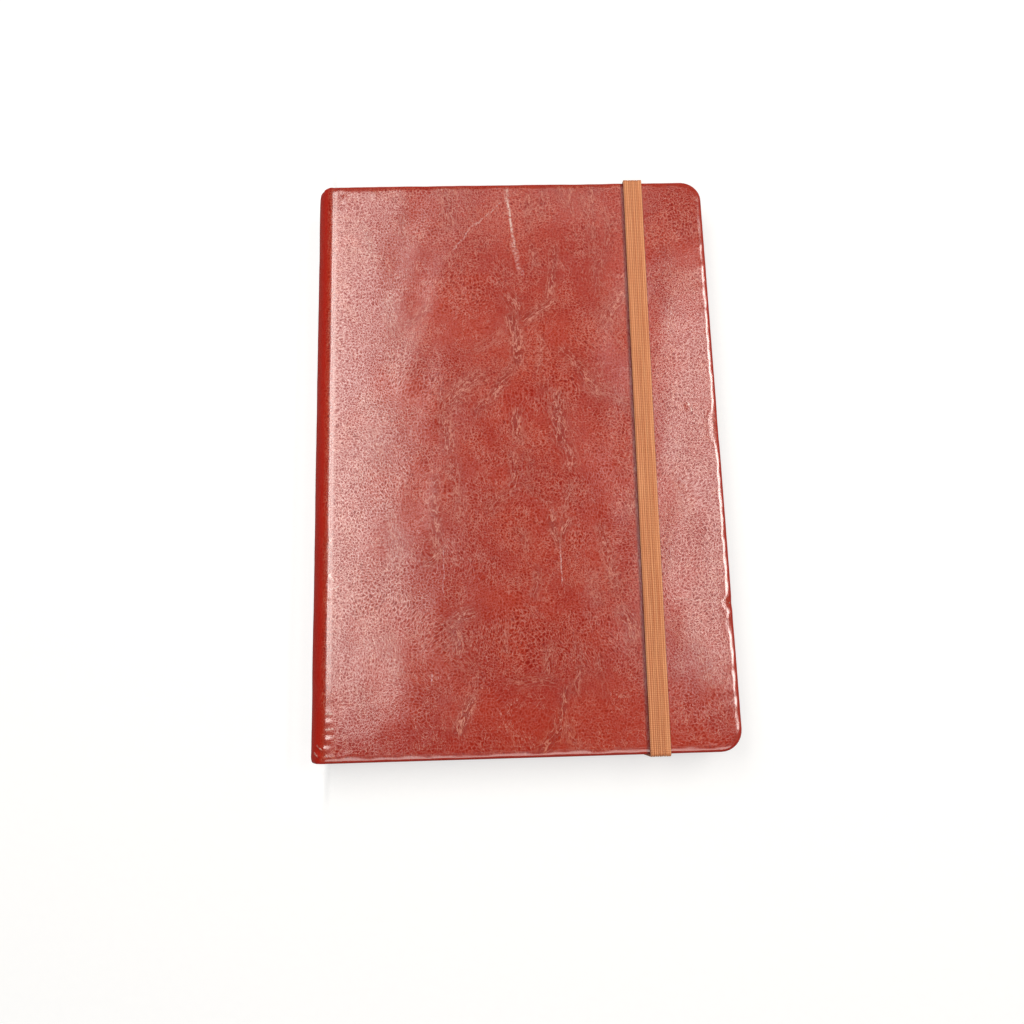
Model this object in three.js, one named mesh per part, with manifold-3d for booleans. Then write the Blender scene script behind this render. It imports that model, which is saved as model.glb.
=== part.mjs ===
// A case-bound leather notebook with an elastic closure, closed and lying on its back cover.
// Millimetres. +X runs from the spine to the fore-edge, +Y from the tail to the head, +Z out of
// the front cover. The origin is on the resting face, under the middle of the notebook.
import * as THREE from 'three'
import { mergeVertices } from 'three/addons/utils/BufferGeometryUtils.js'
import Module from 'manifold-3d'

const wasm = await Module()
wasm.setup()

// Cover, measured over the leather.
const COVER_WIDTH = 147
const COVER_LENGTH = 213
const FORE_CORNER_RADIUS = 7.5
const LEATHER = 0.8
const LEATHER_EDGE_ROUND = 0.6
const BOARD = 1.9
const TURN_IN_WIDTH = 13
const TURN_IN_THICKNESS = 0.3

// Spine of the case: a round hollow back, joined to the covers by two bending strips of leather.
const SPINE_ROUND = 6.2
const SPINE_LINER = 0.6
const SPINE_LINER_MARGIN = 0.6
const BEND_WIDTH = 4

// Book block: folded sections between two endpapers.
const SECTIONS_PER_HALF = 6
const SECTION = 0.72
const SECTION_GAP = 0.03
const ENDPAPER = 0.2
const ENDPAPER_MARGIN = 3.5
const SQUARE = 3
const PAGE_CORNER_RADIUS = 5.5
const BLOCK_TO_COVER = 0.1
const HALVES_GAP = 0.1
const BLOCK_ROUND = 2.2
const BLOCK_BEHIND_HINGES = 0.1
const SPINE_LINING = 0.3
const LINING_END_MARGIN = 12

// Head and tail bands: a bead on the folds and a tape glued to the backs of the sections.
const BAND_BEAD_RADIUS = 0.85
const BAND_TAPE = 0.3
const BAND_TAPE_LENGTH = 10

// Elastic closure.
const STRAP_WIDTH = 7
const STRAP_THICKNESS = 0.8
const STRAP_FROM_FORE_EDGE = 27.3
const STRAP_CORNER_RADIUS = 1.1
const STRAP_GROOVES = [-1.6, -0.55, 0.85, 1.75]
const STRAP_GROOVE_WIDTH = 0.3
const STRAP_GROOVE_DEPTH = 0.15
const STRAP_RECESS = 0.1
const SLOT_FROM_EDGE = 10
const SLOT_PLAY = 0.2
const CHANNEL_PLAY = 0.3
const ANCHOR_TAB_LENGTH = 15

// Play between pieces that are glued or laid on each other.
const FIT = 0.05
// Overshoot of cutting solids past the faces that they cut.
const PAST = 5
// Points nearer than this are one corner of a solid.
const WELD = 1e-5
const ARC_STEPS = 6
const EDGE_ROUND_STEPS = 3

// Places that follow from the sizes.
const coverStack = LEATHER + BOARD + TURN_IN_THICKNESS + ENDPAPER
const sectionPitch = SECTION + SECTION_GAP
const halfBlock = ENDPAPER + SECTIONS_PER_HALF * sectionPitch
const thickness = 2 * (coverStack + BLOCK_TO_COVER + halfBlock) + HALVES_GAP
const middle = thickness / 2
const foreEdge = COVER_WIDTH / 2
const spineBack = -COVER_WIDTH / 2
const coverStart = spineBack + SPINE_ROUND
const spineRadius = (SPINE_ROUND ** 2 + middle ** 2) / (2 * SPINE_ROUND)
const spineCentreX = spineBack + spineRadius
const ridgeAngle = Math.acos((spineCentreX - coverStart) / spineRadius)
const spineAngle = ridgeAngle - BEND_WIDTH / spineRadius
const hingeAngle = ridgeAngle - BEND_WIDTH / 2 / spineRadius
const hingeX = spineCentreX - (spineRadius - LEATHER) * Math.cos(hingeAngle)
const halfLength = COVER_LENGTH / 2
const pageHalfLength = halfLength - SQUARE
const pageFore = foreEdge - SQUARE
const outerFoldHeight = HALVES_GAP / 2 + (SECTIONS_PER_HALF - 0.5) * sectionPitch
const foldRadius = (BLOCK_ROUND ** 2 + outerFoldHeight ** 2) / (2 * BLOCK_ROUND)
const liningRadius = foldRadius + SECTION / 2 + FIT + SPINE_LINING
const liningCentreX = hingeX + BLOCK_BEHIND_HINGES + liningRadius
const strapX = foreEdge - STRAP_FROM_FORE_EDGE
const strapOuterY = halfLength + BLOCK_TO_COVER + STRAP_THICKNESS
const channelDepth = STRAP_RECESS + STRAP_THICKNESS + FIT
const slotOuterY = halfLength - SLOT_FROM_EDGE
const slotInnerY = slotOuterY - STRAP_THICKNESS - 2 * SLOT_PLAY
const boardInnerFace = LEATHER + BOARD

// Depth below the outer face of the back cover or of the front cover, as a height.
const sides = {
  back: (depth) => depth,
  front: (depth) => thickness - depth,
}

// Solids and meshes.
function solidOf(geometry) {
  geometry.deleteAttribute('normal')
  geometry.deleteAttribute('uv')
  const merged = mergeVertices(geometry, WELD)
  const mesh = new wasm.Mesh({
    numProp: 3,
    vertProperties: new Float32Array(merged.attributes.position.array),
    triVerts: new Uint32Array(merged.index.array),
  })
  mesh.merge()
  return new wasm.Manifold(mesh)
}

function geometryOf(solid) {
  const { vertProperties, triVerts } = solid.getMesh()
  const geometry = new THREE.BufferGeometry()
  geometry.setAttribute('position', new THREE.BufferAttribute(vertProperties, 3))
  geometry.setIndex(new THREE.BufferAttribute(triVerts, 1))
  geometry.computeVertexNormals()
  return geometry
}

function box(from, to) {
  const size = to.map((value, axis) => value - from[axis])
  const geometry = new THREE.BoxGeometry(...size)
  geometry.translate(...from.map((value, axis) => value + size[axis] / 2))
  return solidOf(geometry)
}

// A flat shape in X and Y, given thickness in Z, with its edges rounded if asked.
function slab(shape, zOne, zTwo, edgeRound = 0) {
  const low = Math.min(zOne, zTwo)
  const geometry = new THREE.ExtrudeGeometry(shape, {
    depth: Math.abs(zTwo - zOne) - 2 * edgeRound,
    curveSegments: ARC_STEPS,
    bevelEnabled: edgeRound > 0,
    bevelThickness: edgeRound,
    bevelSize: edgeRound,
    bevelOffset: -edgeRound,
    bevelSegments: EDGE_ROUND_STEPS,
  })
  geometry.translate(0, 0, low + edgeRound)
  return solidOf(geometry)
}

// A profile drawn out by a length, then turned so that its X, Y and Z lie along the given axes.
function drawnOut(shape, length, axes) {
  const geometry = new THREE.ExtrudeGeometry(shape, {
    depth: length,
    curveSegments: ARC_STEPS,
    bevelEnabled: false,
  })
  const directions = axes.map((axis) => new THREE.Vector3(...axis))
  geometry.applyMatrix4(new THREE.Matrix4().makeBasis(...directions))
  return geometry
}

// A profile in X and Z, drawn out along Y.
function alongLength(shape, yFrom, yTo) {
  const geometry = drawnOut(shape, yTo - yFrom, [[1, 0, 0], [0, 0, 1], [0, -1, 0]])
  geometry.translate(0, yTo, 0)
  return solidOf(geometry)
}

// A profile in Y and Z, drawn out along X.
function acrossWidth(shape, xFrom, xTo) {
  const geometry = drawnOut(shape, xTo - xFrom, [[0, 1, 0], [0, 0, 1], [1, 0, 0]])
  geometry.translate(xFrom, 0, 0)
  return solidOf(geometry)
}

// The outline of a cover, board, endpaper or page: square at the spine, round at the fore-edge.
function leafShape(left, right, reach, radius) {
  const shape = new THREE.Shape()
  shape.moveTo(left, -reach)
  shape.lineTo(right - radius, -reach)
  shape.absarc(right - radius, radius - reach, radius, -Math.PI / 2, 0, false)
  shape.absarc(right - radius, reach - radius, radius, 0, Math.PI / 2, false)
  shape.lineTo(left, reach)
  return shape
}

// The cover outline drawn in by an inset on its three outer sides.
function insetCover(left, inset) {
  const radius = Math.max(FORE_CORNER_RADIUS - inset, LEATHER)
  return leafShape(left, foreEdge - inset, halfLength - inset, radius)
}

// Leather over one board: outer face, three wrapped edges and the pared turn-ins inside.
function coverLeather(height) {
  const turnedFace = boardInnerFace + TURN_IN_THICKNESS
  const farLeft = coverStart - PAST
  const outer = slab(insetCover(farLeft, 0), height(0), height(turnedFace), LEATHER_EDGE_ROUND)
  const boardRoom = slab(insetCover(farLeft - PAST, LEATHER), height(LEATHER), height(boardInnerFace))
  const window = slab(
    insetCover(farLeft - PAST, TURN_IN_WIDTH),
    height(boardInnerFace - FIT),
    height(turnedFace + PAST),
  )
  const spineSide = box(
    [farLeft - PAST, -halfLength - PAST, -PAST],
    [coverStart, halfLength + PAST, thickness + PAST],
  )
  return { outer: outer.subtract(window).subtract(spineSide), boardRoom }
}

function coverBoard(height) {
  const shape = insetCover(coverStart + FIT, LEATHER + FIT)
  return slab(shape, height(LEATHER + FIT), height(boardInnerFace - FIT))
}

// A pastedown lies on the board and steps up over the turned-in leather at its three outer sides.
function pastedown(height) {
  const bottom = boardInnerFace
  const top = coverStack
  const step = TURN_IN_THICKNESS
  const sheet = slab(insetCover(coverStart + FIT, ENDPAPER_MARGIN), height(bottom), height(top))
  const overTurnIn = slab(
    insetCover(coverStart - PAST, ENDPAPER_MARGIN - PAST),
    height(bottom - PAST),
    height(bottom + step + FIT),
  ).subtract(
    slab(insetCover(coverStart - 2 * PAST, TURN_IN_WIDTH + FIT), height(bottom - 2 * PAST), height(top + PAST)),
  )
  const sunkMiddle = slab(
    insetCover(coverStart - PAST, TURN_IN_WIDTH + FIT + ENDPAPER),
    height(bottom + ENDPAPER),
    height(top + PAST),
  )
  return sheet.subtract(overTurnIn).subtract(sunkMiddle)
}

// Points on an arc round a line along Y, with angles measured up from the side of the spine.
function arcPoints(centreX, radius, angleFrom, angleTo) {
  const steps = 2 * ARC_STEPS
  return Array.from({ length: steps + 1 }, (_, i) => {
    const angle = angleFrom + ((angleTo - angleFrom) * i) / steps
    return new THREE.Vector2(centreX - radius * Math.cos(angle), middle + radius * Math.sin(angle))
  })
}

// The strip of leather between a board's edge and the spine, which bends as its cover opens.
// The way is 1 for the front cover and -1 for the back cover.
function bendingStrip(way) {
  const innerRadius = spineRadius - LEATHER
  const innerRidgeAngle = Math.acos((spineCentreX - coverStart) / innerRadius)
  const shape = new THREE.Shape([
    ...arcPoints(spineCentreX, spineRadius, way * spineAngle, way * ridgeAngle),
    ...arcPoints(spineCentreX, innerRadius, way * innerRidgeAngle, way * spineAngle),
  ])
  return alongLength(shape, -halfLength, halfLength)
}

// A layer of the round spine, between two depths inside the leather's outer face.
function spineLayer(outerDepth, innerDepth, margin) {
  const reach = spineAngle - margin / spineRadius
  return new THREE.Shape([
    ...arcPoints(spineCentreX, spineRadius - outerDepth, -reach, reach),
    ...arcPoints(spineCentreX, spineRadius - innerDepth, reach, -reach),
  ])
}

// Spine leather: the outer face, and at head and tail the ends turned in over the liner.
function spineLeather() {
  const linerFace = LEATHER + SPINE_LINER + 2 * FIT
  const lipFace = linerFace + TURN_IN_THICKNESS
  const hide = alongLength(spineLayer(0, lipFace, 0), -halfLength, halfLength)
  const linerRoom = alongLength(
    spineLayer(LEATHER, linerFace, -FIT),
    LEATHER - halfLength,
    halfLength - LEATHER,
  )
  const openMiddle = alongLength(
    spineLayer(linerFace - FIT, lipFace + FIT, -FIT),
    TURN_IN_WIDTH - halfLength,
    halfLength - TURN_IN_WIDTH,
  )
  return hide.subtract(linerRoom).subtract(openMiddle)
}

function spineLiner() {
  const reach = halfLength - LEATHER - FIT
  return alongLength(
    spineLayer(LEATHER + FIT, LEATHER + FIT + SPINE_LINER, SPINE_LINER_MARGIN),
    -reach,
    reach,
  )
}

// Where the middle of a fold lies, at a height above or below the middle of the block.
function foldCentreX(fromMiddle) {
  return liningCentreX - Math.sqrt(foldRadius ** 2 - fromMiddle ** 2)
}

// One folded section: rounded at its fold, trimmed square at the fore-edge, with round corners.
// The folds of the block stand on an arc, so a section further from the middle starts later.
function foldedSection(fromMiddle) {
  const fold = SECTION / 2
  const foldX = foldCentreX(fromMiddle)
  const profile = new THREE.Shape()
  profile.moveTo(pageFore + PAST, -fold)
  profile.lineTo(pageFore + PAST, fold)
  profile.lineTo(foldX, fold)
  profile.absarc(foldX, 0, fold, Math.PI / 2, (3 * Math.PI) / 2, false)
  const body = alongLength(profile, -pageHalfLength - PAST, pageHalfLength + PAST)
  const leaf = leafShape(foldX - PAST, pageFore, pageHalfLength, PAGE_CORNER_RADIUS)
  return body.intersect(slab(leaf, -PAST, PAST))
}

function flyleaf(height) {
  const shape = leafShape(foldCentreX(outerFoldHeight), pageFore, pageHalfLength, PAGE_CORNER_RADIUS)
  const outerFace = coverStack + BLOCK_TO_COVER
  return slab(shape, height(outerFace), height(outerFace + ENDPAPER))
}

// The angles between which cloth covers the folds of one half, seen from the block's arc.
function clothAngles(way) {
  const inner = way * Math.asin(HALVES_GAP / 2 / liningRadius)
  const outer = way * Math.asin((halfBlock - ENDPAPER) / liningRadius)
  return [Math.min(inner, outer), Math.max(inner, outer)]
}

function spineLining(way) {
  const [from, to] = clothAngles(way)
  const reach = pageHalfLength - LINING_END_MARGIN
  const shape = new THREE.Shape([
    ...arcPoints(liningCentreX, liningRadius, from, to),
    ...arcPoints(liningCentreX, liningRadius - SPINE_LINING, to, from),
  ])
  return alongLength(shape, -reach, reach)
}

class BlockArc extends THREE.Curve {
  constructor(from, to) {
    super()
    this.from = from
    this.to = to
  }

  getPoint(share, target = new THREE.Vector3()) {
    const angle = this.from + (this.to - this.from) * share
    return target.set(
      liningCentreX - liningRadius * Math.cos(angle),
      0,
      middle + liningRadius * Math.sin(angle),
    )
  }
}

// A head or tail band, bent round the back of the block: end is 1 at the head and -1 at the tail.
function edgeBand(way, end) {
  const bead = BAND_BEAD_RADIUS
  const beadY = pageHalfLength + FIT + bead
  const steps = 2 * ARC_STEPS
  const beadPoints = Array.from({ length: steps + 1 }, (_, i) => {
    const angle = -Math.PI / 2 + (1.5 * Math.PI * i) / steps
    return [beadY + bead * Math.cos(angle), bead + bead * Math.sin(angle)]
  })
  const outline = [
    [pageHalfLength - BAND_TAPE_LENGTH, 0],
    ...beadPoints,
    [pageHalfLength + FIT, BAND_TAPE],
    [pageHalfLength - BAND_TAPE_LENGTH, BAND_TAPE],
  ]
  const shape = new THREE.Shape(outline.map(([y, depth]) => new THREE.Vector2(-end * y, depth)))
  const [from, to] = clothAngles(way)
  const geometry = new THREE.ExtrudeGeometry(shape, {
    steps: ARC_STEPS,
    extrudePath: new BlockArc(from, to),
  })
  return solidOf(geometry)
}

// The strap seen from the spine, as a path round the head, front and tail, offset outwards.
function strapOutline(offset) {
  const reach = strapOuterY - STRAP_THICKNESS + offset
  const top = thickness + FIT + offset
  const radius = STRAP_CORNER_RADIUS - STRAP_THICKNESS + offset
  return { reach, top, radius }
}

function strapShape(innerOffset, outerOffset, bottom) {
  const outer = strapOutline(outerOffset)
  const inner = strapOutline(innerOffset)
  const shape = new THREE.Shape()
  shape.moveTo(-outer.reach, bottom)
  shape.lineTo(-outer.reach, outer.top - outer.radius)
  shape.absarc(outer.radius - outer.reach, outer.top - outer.radius, outer.radius, Math.PI, Math.PI / 2, true)
  shape.absarc(outer.reach - outer.radius, outer.top - outer.radius, outer.radius, Math.PI / 2, 0, true)
  shape.lineTo(outer.reach, bottom)
  shape.lineTo(inner.reach, bottom)
  shape.absarc(inner.reach - inner.radius, inner.top - inner.radius, inner.radius, 0, Math.PI / 2, false)
  shape.absarc(inner.radius - inner.reach, inner.top - inner.radius, inner.radius, Math.PI / 2, Math.PI, false)
  shape.lineTo(-inner.reach, bottom)
  return shape
}

// The closure's free loop: over the front cover and down both ends, with lengthwise grooves.
function elasticBand() {
  const bottom = channelDepth
  const half = STRAP_WIDTH / 2
  let band = acrossWidth(strapShape(0, STRAP_THICKNESS, bottom), strapX - half, strapX + half)
  for (const offset of STRAP_GROOVES) {
    const groove = acrossWidth(
      strapShape(STRAP_THICKNESS - STRAP_GROOVE_DEPTH, STRAP_THICKNESS + FIT, bottom - PAST),
      strapX + offset - STRAP_GROOVE_WIDTH / 2,
      strapX + offset + STRAP_GROOVE_WIDTH / 2,
    )
    band = band.subtract(groove)
  }
  return band
}

// The stretch of strap behind the back cover, from its slot to the head or tail edge.
function elasticLeg(end) {
  const half = STRAP_WIDTH / 2
  const inner = slotInnerY + SLOT_PLAY
  const low = STRAP_RECESS
  const high = STRAP_RECESS + STRAP_THICKNESS
  const radius = STRAP_THICKNESS / 2
  const shape = new THREE.Shape()
  shape.moveTo(end * inner, low)
  shape.lineTo(end * (strapOuterY - radius), low)
  shape.lineTo(end * strapOuterY, low + radius)
  shape.lineTo(end * strapOuterY, high)
  shape.lineTo(end * inner, high)
  return acrossWidth(shape, strapX - half, strapX + half)
}

// The strap's end: up through the slot and glued down on the board, under the pastedown.
function elasticAnchor(end) {
  const half = STRAP_WIDTH / 2
  const outer = slotOuterY - SLOT_PLAY
  const inner = slotInnerY + SLOT_PLAY
  const top = boardInnerFace - FIT
  const shape = new THREE.Shape()
  shape.moveTo(end * outer, channelDepth)
  shape.lineTo(end * outer, top)
  shape.lineTo(end * (inner - ANCHOR_TAB_LENGTH), top)
  shape.lineTo(end * (inner - ANCHOR_TAB_LENGTH), top - STRAP_THICKNESS)
  shape.lineTo(end * inner, top - STRAP_THICKNESS)
  shape.lineTo(end * inner, channelDepth)
  return acrossWidth(shape, strapX - half, strapX + half)
}

// A block for the strap at one end: from the middle line of the strap, between two Y reaches.
function strapRoom(end, play, yInner, yOuter, zLow, zHigh) {
  const half = STRAP_WIDTH / 2 + play
  const ys = [end * yInner, end * yOuter]
  return box([strapX - half, Math.min(...ys), zLow], [strapX + half, Math.max(...ys), zHigh])
}

const strapEnds = [1, -1]

// The back leather dips into the board where the strap's legs lie, and has a slot for each end.
function backLeather() {
  const { outer, boardRoom } = coverLeather(sides.back)
  const dip = channelDepth + LEATHER
  let room = boardRoom
  for (const end of strapEnds) {
    const play = CHANNEL_PLAY + LEATHER
    room = room.subtract(
      strapRoom(end, play, slotInnerY - LEATHER, halfLength + PAST, -PAST, dip),
    )
  }
  let leather = outer.subtract(room)
  for (const end of strapEnds) {
    const channel = strapRoom(end, CHANNEL_PLAY, slotInnerY, halfLength + PAST, -PAST, channelDepth)
    const slot = strapRoom(end, SLOT_PLAY, slotInnerY, slotOuterY, -PAST, boardInnerFace)
    leather = leather.subtract(channel).subtract(slot)
  }
  return leather
}

function backBoard() {
  let board = coverBoard(sides.back)
  const dip = channelDepth + LEATHER + FIT
  const play = CHANNEL_PLAY + LEATHER + FIT
  for (const end of strapEnds) {
    const relief = strapRoom(end, play, slotInnerY - LEATHER - FIT, halfLength, -PAST, dip)
    const slot = strapRoom(end, SLOT_PLAY, slotInnerY, slotOuterY, -PAST, thickness)
    const tabRoom = strapRoom(
      end,
      SLOT_PLAY,
      slotInnerY - ANCHOR_TAB_LENGTH - SLOT_PLAY,
      slotOuterY,
      boardInnerFace - STRAP_THICKNESS - 2 * FIT,
      thickness,
    )
    board = board.subtract(relief).subtract(slot).subtract(tabRoom)
  }
  return board
}

function frontLeather() {
  const { outer, boardRoom } = coverLeather(sides.front)
  return outer.subtract(boardRoom)
}

// Finishes.
const finishes = {
  leather: { color: '#8e2f22', roughness: 0.38, metalness: 0 },
  board: { color: '#8f877a', roughness: 0.9, metalness: 0 },
  paper: { color: '#efe6d0', roughness: 0.85, metalness: 0 },
  endpaper: { color: '#e8dcc2', roughness: 0.8, metalness: 0 },
  lining: { color: '#d8d0bd', roughness: 0.95, metalness: 0 },
  headband: { color: '#8a2a22', roughness: 0.8, metalness: 0 },
  elastic: { color: '#dd9766', roughness: 0.75, metalness: 0 },
}

const notebook = new THREE.Group()

function add(name, solid, finish, z = 0) {
  const geometry = geometryOf(solid)
  const mesh = new THREE.Mesh(geometry, new THREE.MeshStandardMaterial(finishes[finish]))
  mesh.name = name
  mesh.position.z = z
  notebook.add(mesh)
}

add('leather_back', backLeather(), 'leather')
add('leather_hinge_back', bendingStrip(-1), 'leather')
add('leather_spine', spineLeather(), 'leather')
add('leather_hinge_front', bendingStrip(1), 'leather')
add('leather_front', frontLeather(), 'leather')
add('back_board', backBoard(), 'board')
add('front_board', coverBoard(sides.front), 'board')
add('spine_liner', spineLiner(), 'board')
add('rear_pastedown', pastedown(sides.back), 'endpaper')
add('front_pastedown', pastedown(sides.front), 'endpaper')
add('rear_flyleaf', flyleaf(sides.back), 'endpaper')
add('front_flyleaf', flyleaf(sides.front), 'endpaper')

// Sections are numbered from the front of the notebook to its back.
for (let i = 0; i < 2 * SECTIONS_PER_HALF; i += 1) {
  const way = i < SECTIONS_PER_HALF ? 1 : -1
  const fromMiddle = Math.abs(SECTIONS_PER_HALF - 0.5 - i) * sectionPitch + HALVES_GAP / 2
  const name = `section_${String(i + 1).padStart(2, '0')}`
  add(name, foldedSection(fromMiddle), 'paper', middle + way * fromMiddle)
}

for (const [half, way] of [['front', 1], ['rear', -1]]) {
  add(`spine_lining_${half}`, spineLining(way), 'lining')
  add(`headband_${half}`, edgeBand(way, 1), 'headband')
  add(`tailband_${half}`, edgeBand(way, -1), 'headband')
}

add('elastic_band', elasticBand(), 'elastic')
for (const [place, end] of [['head', 1], ['tail', -1]]) {
  add(`elastic_leg_${place}`, elasticLeg(end), 'elastic')
  add(`elastic_anchor_${place}`, elasticAnchor(end), 'elastic')
}

export default notebook
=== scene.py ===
"""Looks of a case-bound leather notebook with an elastic closure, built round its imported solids.

Sizes are in millimetres and become metres with MM. +X runs from the spine to the fore-edge, +Y from
the tail to the head, +Z out of the front cover.
"""
import math

import bpy
import numpy as np
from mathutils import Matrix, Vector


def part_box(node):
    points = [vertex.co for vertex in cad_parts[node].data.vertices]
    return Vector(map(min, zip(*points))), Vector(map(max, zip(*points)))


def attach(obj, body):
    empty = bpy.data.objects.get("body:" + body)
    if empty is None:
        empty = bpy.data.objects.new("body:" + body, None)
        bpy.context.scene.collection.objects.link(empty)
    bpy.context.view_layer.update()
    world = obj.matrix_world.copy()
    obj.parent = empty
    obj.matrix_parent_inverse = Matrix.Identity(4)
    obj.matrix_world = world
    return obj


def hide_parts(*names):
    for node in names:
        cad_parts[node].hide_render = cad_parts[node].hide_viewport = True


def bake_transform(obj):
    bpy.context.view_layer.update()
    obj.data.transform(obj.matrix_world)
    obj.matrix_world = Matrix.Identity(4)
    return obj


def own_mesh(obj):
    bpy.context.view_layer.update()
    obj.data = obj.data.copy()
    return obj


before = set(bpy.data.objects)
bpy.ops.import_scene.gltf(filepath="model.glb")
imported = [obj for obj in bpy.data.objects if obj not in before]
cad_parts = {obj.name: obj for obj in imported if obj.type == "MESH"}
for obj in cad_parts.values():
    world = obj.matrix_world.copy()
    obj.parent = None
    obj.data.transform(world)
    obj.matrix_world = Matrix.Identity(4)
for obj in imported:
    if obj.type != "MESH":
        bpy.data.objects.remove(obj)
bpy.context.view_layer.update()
MM = 0.001


def node_box(node):
    """The lowest and the highest corner of a solid, in millimetres."""
    low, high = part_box(node)
    return np.array(low) / MM, np.array(high) / MM


# Places of the case.
cover_low, cover_high = node_box("leather_front")
THICKNESS = cover_high[2]
MIDDLE = THICKNESS / 2
RIDGE_X = cover_low[0]
FORE_X = cover_high[0]
HALF_LENGTH = cover_high[1]
COVER_DEPTH = cover_high[2] - cover_low[2]
SPINE_ROUND = RIDGE_X - node_box("leather_spine")[0][0]
SPINE_RADIUS = (SPINE_ROUND**2 + MIDDLE**2) / (2 * SPINE_ROUND)
SPINE_CENTRE_X = RIDGE_X - SPINE_ROUND + SPINE_RADIUS
RIDGE_ANGLE = math.asin(MIDDLE / SPINE_RADIUS)
BEND_LOW = node_box("leather_hinge_front")[0]
SHOULDER_ANGLE = math.acos((SPINE_CENTRE_X - BEND_LOW[0]) / SPINE_RADIUS)
FORE_CORNER = 7.5

# The hide: a thin shell whose edges roll over the boards and come back as pared turn-ins.
HIDE = 0.3
RIDGE_EASE = 1.5
ROLL_WIDTH = 2.4
ROLL_DROP = 1.3
ROLL_START = 1.5
LIP_ROUND = 0.25
TURN_IN_WIDTH = 13
SPINE_LIP_DEPTH = 1.8
BEND_LIP_DEPTH = 0.9
FAN_START_X = 58
ROW_STEP = 1.1
COLUMN_STEP = 1.05
SPINE_STEP = 0.75

# The strap and its way through the back cover.
strap_low, strap_high = node_box("elastic_band")
leg_low, leg_high = node_box("elastic_leg_head")
STRAP_X = (strap_low[0] + strap_high[0]) / 2
STRAP_WIDTH = strap_high[0] - strap_low[0]
STRAP_THICKNESS = leg_high[2] - leg_low[2]
STRAP_CORNER = 1.1
STRAP_SKEW = 1.05
CHANNEL_DEPTH = strap_low[2]
CHANNEL_HALF = STRAP_WIDTH / 2 + 0.3
SLOT_HALF = STRAP_WIDTH / 2 + 0.2
CHANNEL_EASE = 0.35
SLOT_INNER_Y = leg_low[1] - 0.2
SLOT_OUTER_Y = SLOT_INNER_Y + 1.2

# The pages.
PAGE_CORNER = 5.5
SECTIONS_PER_HALF = 6
LEAVES_PER_SECTION = 8
LEAF = 0.075
LEAF_TRIM = 0.09


# Numbers that wander smoothly, the same in each run.
def wander(points, wavelength, seed):
    """A smooth random field between about -1 and 1 over points in the plane."""
    waves = 10
    random = np.random.default_rng(seed)
    field = np.zeros(points.shape[:-1])
    for _ in range(waves):
        angle = random.uniform(0, math.tau)
        pitch = math.tau / (wavelength * random.uniform(0.6, 1.6))
        phase = random.uniform(0, math.tau)
        field += np.sin(pitch * (points[..., 0] * math.cos(angle) + points[..., 1] * math.sin(angle)) + phase)
    return field / math.sqrt(waves / 2) / 1.6


def smooth_step(value, start, end):
    share = np.clip((value - start) / (end - start), 0, 1)
    return share * share * (3 - 2 * share)


def bump(value, place, width):
    return np.exp(-(((value - place) / width) ** 2))


def places(start, end, step, extra=()):
    """Even places from start to end with the extra ones let in among them."""
    even = np.linspace(start, end, max(2, round((end - start) / step) + 1))
    for place in extra:
        even = even[np.abs(even - place) > step / 3]
    return np.unique(np.concatenate([even, np.array(extra, float), [start, end]]))


# Meshes.
def add_object(name, data):
    thing = bpy.data.objects.new(name, data)
    bpy.context.scene.collection.objects.link(thing)
    return thing


def mesh_piece(name, points, faces, materials, uv=None, marks=None):
    """A mesh object from points in millimetres, with sheet coordinates and named marks per point."""
    mesh = bpy.data.meshes.new(name)
    mesh.from_pydata((np.asarray(points) * MM).tolist(), [], faces)
    if uv is not None:
        layer = mesh.uv_layers.new(name="sheet")
        corners = np.empty(len(mesh.loops), np.int32)
        mesh.loops.foreach_get("vertex_index", corners)
        layer.data.foreach_set("uv", np.asarray(uv, np.float32)[corners].ravel())
    for mark, values in (marks or {}).items():
        flat = np.ndim(values) == 1
        attribute = mesh.attributes.new(mark, "FLOAT" if flat else "FLOAT_VECTOR", "POINT")
        attribute.data.foreach_set("value" if flat else "vector", np.asarray(values, np.float32).ravel())
    for material in materials:
        mesh.materials.append(material)
    mesh.polygons.foreach_set("use_smooth", [True] * len(mesh.polygons))
    mesh.validate()
    return add_object(name, mesh)


def grid_faces(rows, columns, flip=False, first=0):
    """Faces of a grid of points, row after row."""
    faces = []
    for j in range(rows - 1):
        for i in range(columns - 1):
            a = first + j * columns + i
            face = (a, a + 1, a + columns + 1, a + columns)
            faces.append(face[::-1] if flip else face)
    return faces


def thicken(piece, thickness, inner_material=0):
    """Gives a sheet its thickness, inwards from its outer face, and settles it into its mesh."""
    modifier = piece.modifiers.new("thickness", "SOLIDIFY")
    modifier.thickness = thickness * MM
    modifier.offset = -1
    modifier.material_offset = inner_material
    settle(piece)


def settle(piece):
    graph = bpy.context.evaluated_depsgraph_get()
    mesh = bpy.data.meshes.new_from_object(
        piece.evaluated_get(graph), preserve_all_data_layers=True, depsgraph=graph
    )
    mesh.name = piece.name
    piece.modifiers.clear()
    piece.data = mesh


# The case.
def sharp_section(distance):
    """The hide's cross-section in X and height over the middle, at a distance from the ridge."""
    angle = RIDGE_ANGLE + np.minimum(distance, 0) / SPINE_RADIUS
    flat = distance > 0
    x = np.where(flat, RIDGE_X + distance, SPINE_CENTRE_X - SPINE_RADIUS * np.cos(angle))
    height = np.where(flat, MIDDLE, SPINE_RADIUS * np.sin(angle))
    return np.stack([x, height], -1)


def eased_section(distance):
    """The same cross-section with its ridge eased into a soft round."""
    shifts = np.linspace(-1, 1, 11)[1:-1]
    weights = 1 - np.abs(shifts)
    eased = sum(w * sharp_section(distance + s * RIDGE_EASE) for s, w in zip(shifts, weights))
    return eased / weights.sum()


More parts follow.
